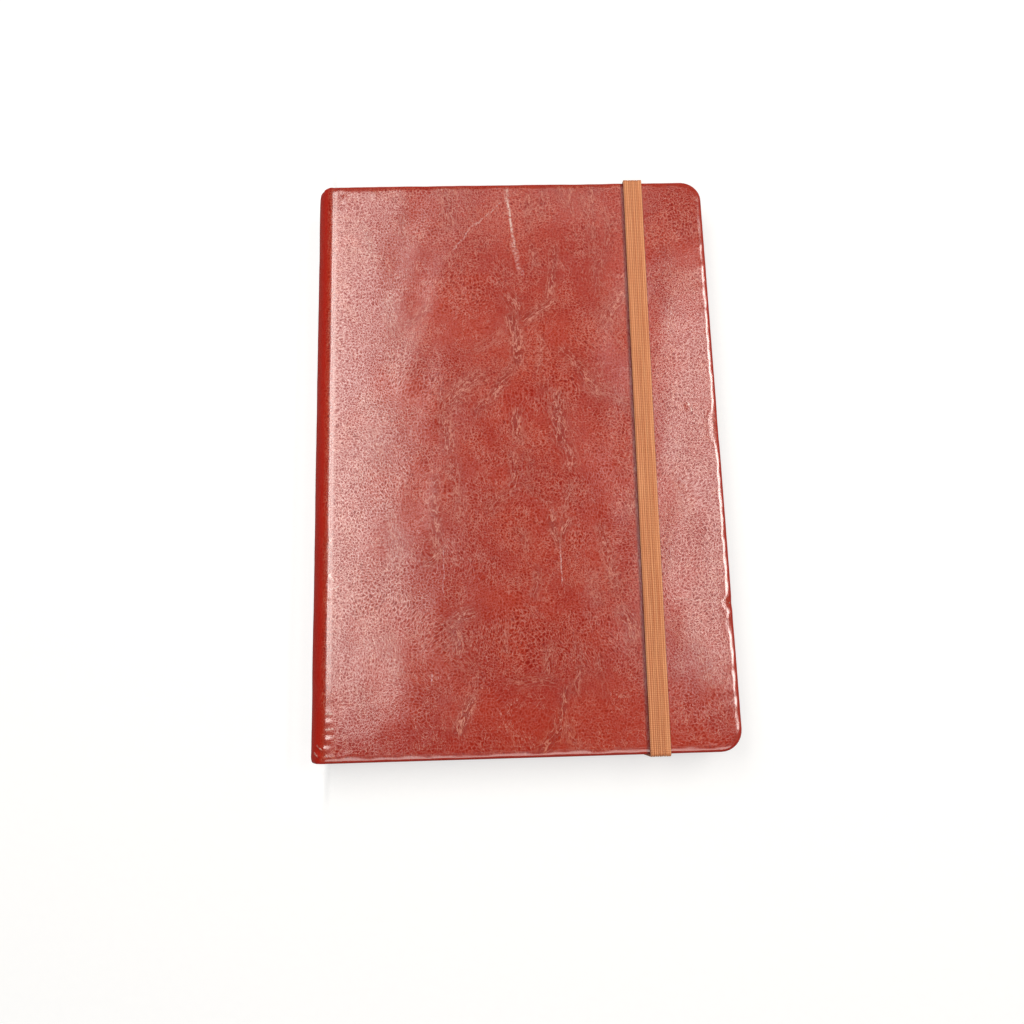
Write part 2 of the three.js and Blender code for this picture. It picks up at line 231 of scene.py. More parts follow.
def hide_frame(distance):
    """Points and outward normals of the cross-section."""
    small = 0.05
    points = eased_section(distance)
    along = eased_section(distance + small) - eased_section(distance - small)
    along /= np.linalg.norm(along, axis=-1, keepdims=True)
    return points, np.stack([-along[..., 1], along[..., 0]], -1)


def lip_depth(distance):
    """How deep the turned-in edge lies under the outer face, along the cross-section."""
    spine_reach = SHOULDER_ANGLE * SPINE_RADIUS - 0.52
    from_back = distance + RIDGE_ANGLE * SPINE_RADIUS
    spine = 1 - smooth_step(np.abs(from_back), spine_reach - 0.9, spine_reach)
    cover = smooth_step(distance, -0.85, -0.3)
    deep = BEND_LIP_DEPTH + (SPINE_LIP_DEPTH - BEND_LIP_DEPTH) * spine
    return deep + (COVER_DEPTH - deep) * cover


def corner_rows(rows, straight, radius, steps):
    """Y of the rows with those round both fore corners added, and each row's corner angle."""
    turn = np.linspace(0, math.pi / 2, steps)[1:]
    angles = np.concatenate([-turn[::-1], np.zeros(len(rows)), turn])
    reach = straight + radius * np.sin(turn)
    return np.concatenate([-reach[::-1], rows, reach]), angles


def roll_profile(depth):
    """Outward reach and depth of the rolled edge, from the outer face round to the turn-in's end."""
    drop = np.minimum(ROLL_DROP, depth - LIP_ROUND - 0.1)
    steps = [(share * ROLL_START, drop * 0.152 * share**1.6) for share in (0.2, 0.4, 0.6, 0.8, 1.0)]
    start = math.radians(12)
    for t in np.linspace(start, math.pi / 2, 9)[1:]:
        share = (math.sin(t) - math.sin(start)) / (1 - math.sin(start))
        fall = drop * (1 - 0.848 * math.cos(t) / math.cos(start))
        steps.append((ROLL_START + (ROLL_WIDTH - ROLL_START) * share, fall))
    steps.append((ROLL_WIDTH, (drop + depth - LIP_ROUND) / 2))
    for t in np.linspace(0, math.pi / 2, 4):
        steps.append((ROLL_WIDTH - LIP_ROUND * (1 - math.cos(t)), depth - LIP_ROUND * (1 - math.sin(t))))
    lip_end = ROLL_WIDTH - TURN_IN_WIDTH
    steps += [(lip_end * 0.5, depth), (lip_end + 0.5, depth), (lip_end, depth - 0.12)]
    return [(np.full_like(depth, reach), np.broadcast_to(down, depth.shape)) for reach, down in steps]


def sheet_grid(start, extra_rows, extra_columns):
    """The flat hide as rows of sheet places, fanned out to the round corners, and each row's corner angle."""
    straight = HALF_LENGTH - FORE_CORNER
    inner_corner = FORE_CORNER - ROLL_WIDTH
    rows, turns = corner_rows(places(-straight, straight, ROW_STEP, extra_rows), straight, inner_corner, 9)
    corner_x = FORE_X - FORE_CORNER + inner_corner * np.cos(turns)
    fixed = np.concatenate([
        places(start, 0, SPINE_STEP, (start + 0.12,)),
        places(0, FAN_START_X - RIDGE_X, COLUMN_STEP, extra_columns)[1:],
    ])
    fan = np.linspace(0, 1, 11)[1:]
    fan_x = FAN_START_X + fan[None, :] * (corner_x[:, None] - FAN_START_X)
    sheet_x = np.concatenate([np.tile(fixed, (len(rows), 1)), fan_x - RIDGE_X], axis=1)
    sheet_y = np.tile(rows[:, None], (1, sheet_x.shape[1]))
    return np.stack([sheet_x, sheet_y], -1), turns


def sheet_border(rows, columns, turns):
    """The grid's points along the tail, the fore-edge and the head, and the way out at each."""
    tail = [(i, 0.0, -1.0) for i in range(columns - 1)]
    fore = [((j + 1) * columns - 1, math.cos(turns[j]), math.sin(turns[j])) for j in range(rows)]
    head = [((rows - 1) * columns + i, 0.0, 1.0) for i in reversed(range(columns - 1))]
    path = np.array(tail + fore + head)
    return path[:, 0].astype(int), path[:, 1:]


def rolled_edge(edge, outward):
    """Rings of the roll, each as place, place on the flat sheet, depth and share of the roll."""
    round_corner = np.abs(outward).min(axis=1) > 1e-6
    farthest_in = np.where(round_corner, ROLL_WIDTH - FORE_CORNER + 0.5, ROLL_WIDTH - TURN_IN_WIDTH)
    length, reach_before, down_before = np.zeros((3, len(edge)))
    rings = []
    for reach, down in roll_profile(lip_depth(edge[:, 0])):
        reach = np.maximum(reach, farthest_in)
        length = length + np.hypot(reach - reach_before, down - down_before)
        reach_before, down_before = reach, down
        place, sheet = edge + outward * reach[:, None], edge + outward * length[:, None]
        rings.append((place, sheet, down, np.clip(length / ROLL_WIDTH, 0, 1)))
    return rings


def sheet_faces(grid, border, ring_count, holes):
    """Faces of the grid, apart from its holes, and of the rings round its border."""
    rows, columns = grid.shape[:2]
    faces = []
    for j in range(rows - 1):
        for i in range(columns - 1):
            x, y = grid[j : j + 2, i : i + 2].mean(axis=(0, 1))
            if any(x0 < x < x1 and y0 < y < y1 for x0, x1, y0, y1 in holes):
                continue
            first = j * columns + i
            faces.append((first, first + 1, first + columns + 1, first + columns))
    ring = len(border)
    rings = [border] + [rows * columns + n * ring + np.arange(ring) for n in range(ring_count)]
    for inner, outer in zip(rings, rings[1:]):
        for k in range(ring - 1):
            faces.append((int(inner[k]), int(outer[k]), int(outer[k + 1]), int(inner[k + 1])))
    return faces


def case_sheet(name, way, start, relief, bundles, materials, extra_rows=(), extra_columns=(), holes=()):
    """One side of the case as a single hide: cover, bending strip and the spine as far as start."""
    grid, turns = sheet_grid(start, extra_rows, extra_columns)
    flat_grid = grid.reshape(-1, 2)
    border, outward = sheet_border(*grid.shape[:2], turns)
    rings = rolled_edge(flat_grid[border], outward)
    level = np.zeros(len(flat_grid))
    flat, sheet, down, rim = (np.concatenate(p) for p in zip((flat_grid, flat_grid, level, level), *rings))
    section, normal = hide_frame(flat[:, 0])
    lift = relief(flat[:, 0], flat[:, 1]) * (1 - smooth_step(down, 1.2, 2.0)) - down
    points = np.stack([
        section[:, 0] + normal[:, 0] * lift,
        flat[:, 1],
        MIDDLE + way * (section[:, 1] + normal[:, 1] * lift),
    ], -1)
    faces = sheet_faces(grid, border, len(rings), holes)
    if way < 0:
        faces = [face[::-1] for face in faces]
        sheet = np.stack([-2 * RIDGE_ANGLE * SPINE_RADIUS - sheet[:, 0], sheet[:, 1]], -1)
    creased, crease_place = crease_marks(flat, bundles)
    marks = {"rim": rim, "creased": creased, "crease_place": crease_place}
    piece = mesh_piece(name, points, faces, materials, uv=sheet, marks=marks)
    on_back = flat[[face[0] for face in faces], 0] < -0.9
    piece.data.polygons.foreach_set("material_index", np.where(on_back, 2, 0).astype(np.int32))
    thicken(piece, HIDE, inner_material=1)
    return piece


# Bundles of thin creases in the front cover, on the sheet: X and Y of both ends, half width, strength.
CREASE_BUNDLES = (
    (90.9, 103.5, 90.9, 94.2, 1.1, 0.5), (95, 99.2, 95.8, 93.3, 1.1, 0.5),
    (99, 103.8, 98.1, 84.1, 0.9, 0.6), (103.5, 94, 103.7, 81.6, 1.1, 0.5),
    (97.3, 91.6, 99.3, 78.3, 1.5, 0.4), (73.9, 100.8, 74.7, 87.8, 1.3, 0.5),
    (80.2, 104.5, 79.4, 93.2, 0.9, 0.5), (86.4, 105.3, 87.9, 96.4, 1.1, 0.5),
    (43.8, 105, 42.9, 89.6, 2.2, 0.5), (75.2, 79.5, 75.3, 73.8, 1.1, 0.7),
    (83.1, 78.6, 80.8, 58.3, 1.3, 0.7), (80.8, 58.3, 72.7, 50.5, 1.7, 0.8),
    (110.2, 61.8, 101.6, 48, 3, 0.6), (100.6, 73.4, 98.9, 62, 1.9, 0.45),
    (50.7, 104.1, 52, 93.6, 1.5, 0.35), (67.5, 51.4, 67.4, 34.1, 1.9, 1),
    (66.3, 59.4, 68.2, 49.8, 2.2, 0.7), (66.3, 34.1, 59.8, 21.2, 1.5, 0.8),
    (57.9, 21.2, 53.4, 14.5, 1.5, 0.6), (55.2, 28.9, 43.4, 19.2, 2.6, 0.65),
    (40.5, 23.1, 40.8, 15.5, 1.1, 0.6), (41.5, 13.9, 42, 1.2, 1.9, 0.6),
    (77.3, 42.5, 75.8, 31.6, 1, 0.6), (84.8, 37.7, 98.1, 21.9, 1.7, 0.6),
    (98.2, 22.7, 109.6, 17.1, 1.5, 0.45), (67.6, 14.2, 68, 5.8, 1.5, 0.8),
    (83.5, 21.1, 82.8, 4, 2.2, 0.8), (78.5, 25.4, 79, 18.5, 1.5, 0.5), (84.6, 4, 85.7, -5.4, 1.9, 0.6),
    (62.2, 46.8, 53.9, 39.1, 2.2, 0.4), (85.3, -13.5, 83, -25.4, 1, 0.6),
    (78.8, -25.3, 81.3, -32.9, 1.2, 1), (84.1, -26.5, 81.3, -32.9, 1.1, 0.9),
    (96.7, -28.6, 99.5, -50.7, 1.5, 0.6), (66, -1.2, 65, -12.3, 1.5, 0.6),
    (71, -2.4, 71.6, -7.3, 1.1, 0.5), (68.6, -12, 78.4, -18.1, 1.1, 0.5),
    (64.2, -14.1, 57.7, -21.2, 1.9, 0.5), (38, -9.8, 38.4, -33.3, 1.5, 0.6),
    (45.2, -2.6, 45.6, -22.7, 1.9, 0.45), (39.8, -35.1, 34.5, -39.2, 1.5, 0.6),
    (67.3, -29.4, 69.3, -34.1, 1.5, 0.6), (72.5, -43.7, 72.2, -51.4, 1.1, 0.6),
    (108, -17.6, 108.4, -23.1, 1.5, 0.7), (92.1, -45.3, 93.8, -54.1, 1.9, 0.4),
    (49.2, -58.5, 40.8, -61.7, 1.9, 0.6), (43.3, -61.1, 44.2, -70, 2.2, 0.7),
    (38.7, -69.8, 48.8, -76.2, 3, 0.35), (51.2, -79.6, 49.7, -85.6, 1.1, 0.5),
    (48.3, -86.9, 45.8, -96.7, 1.5, 0.9), (61.1, -64.3, 61.3, -70.1, 0.9, 0.5),
    (77.1, -70.2, 75.1, -77.6, 1.3, 0.6), (65.8, -80.7, 76.7, -82.3, 1.5, 0.5),
    (81.3, -85.1, 78.2, -95.6, 1, 0.8), (78.2, -95.6, 74.2, -103.4, 1.9, 0.7),
    (79.6, -95.7, 84.7, -102.7, 1.5, 0.5), (86.4, -77.9, 85.1, -85.2, 1.1, 0.6),
    (85.8, -68.4, 86.9, -75.2, 1.1, 0.4), (93.4, -75.4, 94, -84.8, 1.1, 0.35),
    (102.9, -58.5, 104.9, -66.8, 2.2, 0.6), (11.5, 88.8, 14.6, 79.7, 1, 0.6),
    (7.5, 79.4, 14.6, 78.1, 1, 0.5), (26.2, 92.3, 27.4, 86.5, 1.1, 0.5), (28.3, 49.8, 35, 56, 1.3, 0.5),
    (21.7, 59.4, 22.4, 47.5, 1.9, 0.4), (23.4, -24, 22.3, -38.2, 1.9, 0.4),
    (15.2, 9.2, 18.1, -5.7, 2.2, 0.35), (19.9, -65.9, 25, -76.9, 2.2, 0.35),
    (125.4, 57.5, 126.1, 45.6, 1.9, 0.4), (125.3, -11.8, 127.9, -26.5, 2.2, 0.45),
    (121.4, -26.3, 119.1, -40.6, 1.5, 0.4), (128.4, -68.8, 129.2, -82.4, 2.2, 0.35),
    (125.2, 77.9, 126, 67.6, 1.9, 0.35),
)


def chance_bundles(seed, count, low, high):
    """Bundles of creases strewn over a part of the hide, mostly along its length."""
    random = np.random.default_rng(seed)
    bundles = []
    for _ in range(count):
        x, y = random.uniform(low, high)
        tilt = random.normal(math.pi / 2, 0.6)
        half = random.uniform(2.5, 8)
        reach = np.array([math.cos(tilt), math.sin(tilt)]) * half
        width, strength = random.uniform(0.9, 2.8), random.uniform(0.35, 0.9)
        bundles.append((x - reach[0], y - reach[1], x + reach[0], y + reach[1], width, strength))
    return bundles


def crease_marks(points, bundles):
    """How creased the hide is at each point, and the point's place along and across its bundle."""
    creased, second = np.zeros(len(points)), np.zeros(len(points))
    local = np.zeros((len(points), 3))
    for number, (x0, y0, x1, y1, width, strength) in enumerate(bundles):
        length = math.hypot(x1 - x0, y1 - y0)
        direction = np.array([x1 - x0, y1 - y0]) / length
        away = points - np.array([x0 + x1, y0 + y1]) / 2
        along = away @ direction
        bend = 0.5 * width * np.cos(along / length * 3 + number)
        across = away @ np.array([-direction[1], direction[0]]) + bend
        past_end = np.maximum(np.abs(along) - length / 2, 0)
        share = strength * np.exp(-((across / width / 1.5) ** 2) - (past_end / 2.5) ** 2)
        nearest = share > creased
        second = np.where(nearest, creased, np.maximum(second, share))
        creased[nearest] = share[nearest]
        local[nearest, 0] = along[nearest] + 30 * number
        local[nearest, 1] = across[nearest]
    return creased * np.clip((creased - second) / 0.12, 0, 1), local


# Dents of the fore-edge: place along the edge, depth and half width.
FORE_DENTS = ((9.5, 0.5, 5.0), (3.6, 0.35, 2.2), (-56.2, 0.75, 1.6), (-53.0, 0.2, 3.0), (-63.0, 0.3, 4.0))
# Puckers of the ridge: place along it, height and half width.
RIDGE_PUCKERS = (
    (-31.7, 0.25, 1.6), (-44.0, 0.22, 1.4), (-50.7, 0.28, 1.3),
    (-89.8, 0.35, 0.9), (-93.7, 0.35, 0.8), (-96.0, 0.4, 0.8), (-98.9, 0.4, 0.9),
)
# Wrinkles at the tail of the spine: sheet place, tilt in degrees, length, half width, height.
CORNER_WRINKLES = (
    (-1.6, -101.2, -35, 3.2, 0.45, 0.35), (-3.4, -103.6, -30, 3.4, 0.5, 0.4),
    (-2.4, -99.0, -50, 2.6, 0.5, -0.3), (-2.6, -102.4, -32, 3.0, 0.45, -0.35),
)
# Short folds by the head of the spine, drawn the same way.
HEAD_FOLDS = (
    (3.6, 101.0, -78, 6.5, 0.5, -0.28), (4.5, 100.2, -78, 6.0, 0.45, 0.2),
    (15.8, 103.0, -65, 4.0, 0.45, 0.18),
)
# A nick in the cover between the strap and the fore-edge, drawn the same way.
NICK = (130.7, 15.5, -70, 3.4, 0.8, 0.22)


def folded_line(x, y, fold):
    """A raised or sunk fold along a short straight stretch."""
    centre_x, centre_y, tilt, length, width, height = fold
    turn = math.radians(tilt)
    along = (x - centre_x) * math.cos(turn) + (y - centre_y) * math.sin(turn)
    across = -(x - centre_x) * math.sin(turn) + (y - centre_y) * math.cos(turn)
    return height * bump(across, 0, width) * bump(along, 0, length / 2)


def cover_relief(x, y):
    """The soft unevenness that every part of the hide shares."""
    points = np.stack([x, y], -1)
    broad = 0.05 * wander(points, 34, 3) + 0.025 * wander(points, 11, 4)
    edge_y = HALF_LENGTH - np.abs(y)
    edge_x = FORE_X - RIDGE_X - x
    to_edge = np.minimum(edge_y, edge_x)
    ripple = 0.06 * wander(points, 6.5, 5) * bump(to_edge, 1.2, 2.2)
    fall = 0.12 * np.exp(-np.maximum(x, 0) / 2.4) * smooth_step(x, -2.5, 0)
    lift = broad + ripple - fall
    on_back = 1 - smooth_step(x, -3.0, -0.8)
    return lift - on_back * (0.08 + np.maximum(lift - 0.08, 0))


def front_relief(x, y):
    lift = cover_relief(x, y)
    to_fore = FORE_X - RIDGE_X - x
    for place, depth, width in FORE_DENTS:
        lift = lift - depth * bump(y, place, width) * bump(to_fore, 0.6, 2.6)
    for place, height, width in RIDGE_PUCKERS:
        pucker = bump(y, place, width / 2) - 0.7 * bump(y, place - width, width / 2)
        lift = lift + height * pucker * bump(x, 0.3, 1.1)
    for fold in (*CORNER_WRINKLES, *HEAD_FOLDS, NICK):
        lift = lift + folded_line(x, y, fold)
    return lift


def back_relief(x, y):
    lift = cover_relief(x, y)
    from_strap = np.abs(x + RIDGE_X - STRAP_X)
    channel = smooth_step(CHANNEL_HALF + CHANNEL_EASE - from_strap, 0, CHANNEL_EASE)
    channel = channel * smooth_step(np.abs(y), SLOT_INNER_Y - CHANNEL_EASE, SLOT_INNER_Y)
    return np.minimum(lift, 0) * (1 - channel) - CHANNEL_DEPTH * channel


def build_case():
    flesh = leather_flesh_side()
    materials = [
        oxblood_leather("oxblood_leather", ior=1.45, specular=0.5), flesh,
        oxblood_leather("rubbed_spine_leather", ior=1.4, specular=0.3), flesh,
    ]
    shoulder = (RIDGE_ANGLE - SHOULDER_ANGLE) * SPINE_RADIUS
    far_shoulder = (RIDGE_ANGLE + SHOULDER_ANGLE) * SPINE_RADIUS
    front = case_sheet("case_front", 1, -far_shoulder, front_relief, CREASE_BUNDLES, materials)
    slot_x = STRAP_X - RIDGE_X
    halves = (SLOT_HALF, CHANNEL_HALF, CHANNEL_HALF + CHANNEL_EASE)
    slot_columns = [slot_x + side * half for side in (-1, 1) for half in halves]
    stops = (SLOT_INNER_Y - CHANNEL_EASE, SLOT_INNER_Y, SLOT_OUTER_Y)
    slot_rows = [end * y for end in (-1, 1) for y in stops]
    holes = [
        (slot_x - SLOT_HALF, slot_x + SLOT_HALF, *sorted((end * SLOT_INNER_Y, end * SLOT_OUTER_Y)))
        for end in (-1, 1)
    ]
    back_bundles = chance_bundles(8, 70, (6, -HALF_LENGTH + 4), (FORE_X - RIDGE_X - 6, HALF_LENGTH - 4))
    back = case_sheet(
        "case_back", -1, -shoulder, back_relief, back_bundles, materials, slot_rows, slot_columns, holes,
    )
    for piece, way, cover in ((front, 1, "front_cover"), (back, -1, "back_cover")):
        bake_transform(piece)
    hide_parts("leather_front", "leather_hinge_front", "leather_spine")
    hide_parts("leather_back", "leather_hinge_back")


# The elastic.
RIBS = 9
GROOVES = ((-1.6, 0.17), (-0.55, 0.13), (0.85, 0.15), (1.75, 0.17))


def strap_section():
    """Across the strap: offset from its middle and height over its inner face, as a closed loop."""
    half = STRAP_WIDTH / 2
    across = places(-half + 0.25, half - 0.25, 0.1)
    top = STRAP_THICKNESS - 0.05 + 0.045 * np.cos(across / STRAP_WIDTH * math.tau * RIBS)
    for offset, depth in GROOVES:
        top = top - depth * bump(across, offset, 0.13)
    turn = np.linspace(0, math.pi / 2, 5)[1:]
    edge = [(half - 0.25 + 0.25 * math.sin(t), top[-1] - 0.3 * (1 - math.cos(t))) for t in turn]
    low = [(half, 0.25), (half - 0.15, 0.05), (half - 0.6, 0.0)]
    right = edge + low
    left = [(-x, z) for x, z in reversed(right)]
    return np.array([*zip(across, top), *right, *left])


def run_length(line):
    """How far each point of a line lies from its start, along it."""
    return np.concatenate([[0], np.cumsum(np.linalg.norm(np.diff(line, axis=0), axis=1))])


def sweep(name, path, material):
    """The strap's section drawn along a path of Y, Z and the outward way in Y and Z."""
    loop = strap_section()
    count = len(loop)
    spine, normals = path[:, :2], path[:, 2:]
    travel = run_length(spine)
    around = run_length(loop) - STRAP_WIDTH / 2
    points, uv = [], []
    for (y, z), (ny, nz), s in zip(spine, normals, travel):
        for (across, up), u in zip(loop, around):
            points.append((STRAP_X + STRAP_SKEW * y / HALF_LENGTH + across, y + ny * up, z + nz * up))
            uv.append((u, s))
    faces = []
    for j in range(len(spine) - 1):
        for i in range(count):
            a, b = j * count + i, j * count + (i + 1) % count
            faces.append((a, b, b + count, a + count))
    faces.append(tuple(range(count))[::-1])
    faces.append(tuple((len(spine) - 1) * count + i for i in range(count)))
    piece = mesh_piece(name, points, faces, [material], uv=uv)
    return piece


def corner_path(centre, radius, start, end, steps=6):
    return [
        (centre[0] + radius * math.cos(a), centre[1] + radius * math.sin(a), math.cos(a), math.sin(a))
        for a in np.linspace(start, end, steps)
    ]


def build_strap():
    material = tan_elastic()
    inner_y = strap_high[1] - STRAP_THICKNESS
    inner_z = strap_high[2] - STRAP_THICKNESS
    radius = STRAP_CORNER - STRAP_THICKNESS
    path = [(inner_y, z, 1.0, 0.0) for z in np.linspace(CHANNEL_DEPTH, inner_z - radius, 12)[:-1]]
    path += corner_path((inner_y - radius, inner_z - radius), radius, 0, math.pi / 2)
    path += [(y, inner_z, 0.0, 1.0) for y in np.linspace(inner_y - radius, radius - inner_y, 162)[1:-1]]
    path += corner_path((radius - inner_y, inner_z - radius), radius, math.pi / 2, math.pi)
    path += [(-inner_y, z, -1.0, 0.0) for z in np.linspace(inner_z - radius, CHANNEL_DEPTH, 12)[1:]]
    path = np.array(path)
    band = sweep("strap_loop", path, material)
    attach(band, "elastic")
    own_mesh(band)
    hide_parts("elastic_band")
    for place, end in (("head", 1), ("tail", -1)):
        build_leg(place, end, material)


def build_leg(place, end, material):
    """The strap behind the back cover: out of its slot, along its channel and round the edge."""
    top = leg_high[2]
    slot_y = leg_low[1] + STRAP_THICKNESS
    edge_y = strap_high[1] - STRAP_THICKNESS
    path = [(slot_y + 0.02, 1.0 + top, -1.0, 0.0), (slot_y + 0.02, top + 0.3, -1.0, 0.0)]
    path += corner_path((slot_y + 0.3, top + 0.28), 0.28, math.pi, 1.5 * math.pi, 5)
    path += [(y, top, 0.0, -1.0) for y in np.linspace(slot_y + 0.6, edge_y - 0.05, 12)]
    path += corner_path((edge_y, top + 0.02), 0, -math.pi / 2 + 0.3, 0, 5)
    path = np.array(path)
    path[:, [0, 2]] *= end
    leg = sweep(f"strap_leg_{place}", path, material)
    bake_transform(leg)
    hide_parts(f"elastic_leg_{place}")


# The pages.
def build_section(number, material):
    """A folded section: sheets laid in each other, each with a round fold and two leaves."""
    node = f"section_{number:02d}"
    low, high = node_box(node)
    random = np.random.default_rng(100 + number)
    straight = high[1] - PAGE_CORNER
    rows, turns = corner_rows(np.linspace(-straight, straight, 9), straight, PAGE_CORNER, 8)
    fold_radius = (high[2] - low[2]) / 2
    centre_z = (low[2] + high[2]) / 2
    fold_x = low[0] + fold_radius
    sheets = LEAVES_PER_SECTION // 2
    points, faces, uv = [], [], []
    for n in range(sheets):
        radius = fold_radius * (sheets - n) / sheets - 0.004
        trims = random.uniform(0, LEAF_TRIM, 2)
        end_trim = random.uniform(0, 0.05)
        first = len(points)
        columns = 0
        for y, turn in zip(rows, turns):
            fore = high[0] - PAGE_CORNER + PAGE_CORNER * math.cos(turn)
            upper = [(x, radius) for x in np.linspace(fore - trims[0], fold_x, 7)]
            angles = np.linspace(0, math.pi, 9)[1:-1]
            arc = [(fold_x - radius * math.sin(a), radius * math.cos(a)) for a in angles]
            lower = [(x, -radius) for x in np.linspace(fold_x, fore - trims[1], 7)]
            line = upper + arc + lower
            columns = len(line)
            travel = 0
            for i, (x, z) in enumerate(line):
                if i:
                    travel += math.hypot(x - line[i - 1][0], z - line[i - 1][1])
                points.append((x, y * (1 - end_trim / high[1]), centre_z + z))
                uv.append((travel, y))
        faces += grid_faces(len(rows), columns, flip=True, first=first)
    piece = mesh_piece(f"leaves_{number:02d}", points, faces, [material], uv=uv)
    thicken(piece, LEAF)
    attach(piece, "front_pages" if number <= SECTIONS_PER_HALF else "back_cover")
    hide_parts(node)


def build_pages():
    paper = writing_paper()
    for number in range(1, 2 * SECTIONS_PER_HALF + 1):
        build_section(number, paper)
    endpaper = endpaper_sheet()
    for node in ("front_pastedown", "rear_pastedown", "front_flyleaf", "rear_flyleaf"):
        dress(node, endpaper)


def dress(node, material):
    """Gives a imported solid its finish."""
    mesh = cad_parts[node].data
    mesh.materials.clear()
    mesh.materials.append(material)


# Materials.
def srgb(*colour):
    """A colour as it is seen on a screen, 0 to 255, in Blender's linear values."""
    shares = [c / 255 for c in colour]
    return (*(s / 12.92 if s <= 0.04 else ((s + 0.055) / 1.055) ** 2.4 for s in shares), 1.0)


def fill(tree, node, inputs):
    """Sets inputs of a node, each to a value or to a socket to join."""
    for key, value in dict(inputs).items():
        if isinstance(value, bpy.types.NodeSocket):
            tree.links.new(value, node.inputs[key])
        else:
            node.inputs[key].default_value = value


def put(tree, kind, inputs=(), **settings):
    """A new node with its settings and inputs."""
    node = tree.nodes.new(kind)
    for key, value in settings.items():
        setattr(node, key, value)
    fill(tree, node, inputs)
    return node


def maths(tree, operation, *values, clamp=False):
    node = put(tree, "ShaderNodeMath", dict(enumerate(values)), operation=operation, use_clamp=clamp)
    return node.outputs[0]


def folded(tree, operation, values):
    """Values taken together one after another."""
    result = values[0]
    for value in values[1:]:
        result = maths(tree, operation, result, value)
    return result


def product(tree, *values):
    return folded(tree, "MULTIPLY", values)


def highest(tree, *values):
    return folded(tree, "MAXIMUM", values)


def vector_maths(tree, operation, vector, other):
    key = 3 if operation == "SCALE" else 1
    return put(tree, "ShaderNodeVectorMath", {0: vector, key: other}, operation=operation).outputs[0]


def parts(tree, vector):
    """The X, Y and Z of a vector."""
    return put(tree, "ShaderNodeSeparateXYZ", {0: vector}).outputs


def mixed(tree, share, one, two):
    """A mix of two colours."""
    return put(tree, "ShaderNodeMix", {0: share, 6: one, 7: two}, data_type="RGBA").outputs[2]


def painted(tree, colour, layers):
    """A colour with others laid over it, each given as its mask, its strength and the colour."""
    for mask, strength, paint in layers:
        colour = mixed(tree, product(tree, mask, strength), colour, srgb(*paint))
    return colour


def ranged(tree, value, low, high, to_low=0.0, to_high=1.0):
    """A value carried smoothly from one range to another, and held at its ends."""
    inputs = {0: value, 1: low, 2: high, 3: to_low, 4: to_high}
    return put(tree, "ShaderNodeMapRange", inputs, interpolation_type="SMOOTHSTEP").outputs[0]


def noise(tree, vector, scale, detail=2.0, roughness=0.5, flat=False):
    inputs = {"Vector": vector, "Scale": scale, "Detail": detail, "Roughness": roughness}
    return put(tree, "ShaderNodeTexNoise", inputs, noise_dimensions="2D" if flat else "3D").outputs[0]


def cell_edges(tree, vector, scale):
    """Distance to the nearest edge between irregular cells in the plane, in cells."""
    node = put(tree, "ShaderNodeTexVoronoi", {"Vector": vector, "Scale": scale},
               voronoi_dimensions="2D", feature="DISTANCE_TO_EDGE")
    return node.outputs["Distance"]


def shifted(tree, vector, by, scale):
    """A place in the plane pushed about by a noise, by about the given length."""
    inputs = {"Vector": vector, "Scale": scale, "Detail": 2.0}
    push = put(tree, "ShaderNodeTexNoise", inputs, noise_dimensions="2D").outputs[1]
    centred = vector_maths(tree, "SUBTRACT", push, (0.5, 0.5, 0.5))
    return vector_maths(tree, "ADD", vector, vector_maths(tree, "SCALE", centred, 2.0 * by))


def node_group(name, inputs, outputs):
    """An empty shader group. Each input comes with its default, or with None where it is a vector."""
    group = bpy.data.node_groups.new(name, "ShaderNodeTree")
    for socket, default in inputs.items():
        kind = "NodeSocketVector" if default is None else "NodeSocketFloat"
        made = group.interface.new_socket(socket, in_out="INPUT", socket_type=kind)
        if default is not None:
            made.default_value = default
    for socket in outputs:
        group.interface.new_socket(socket, in_out="OUTPUT", socket_type="NodeSocketFloat")
    return group, put(group, "NodeGroupInput").outputs, put(group, "NodeGroupOutput")


groups = {}


def grouped(maker):
    """Builds a group once and gives it back to every material that asks."""
    if maker.__name__ not in groups:
        groups[maker.__name__] = maker()
    return groups[maker.__name__]


def use_group(tree, maker, inputs):
    return put(tree, "ShaderNodeGroup", inputs, node_tree=grouped(maker)).outputs


def thread_lines(tree, vector, scale, detail, width):
    """Thin wandering lines that part and meet again: 1 on a line and 0 beside it."""
    level = maths(tree, "SUBTRACT", noise(tree, vector, scale, detail, 0.6, flat=True), 0.5)
    return ranged(tree, maths(tree, "ABSOLUTE", level), 0.0, width, 1.0, 0.0)


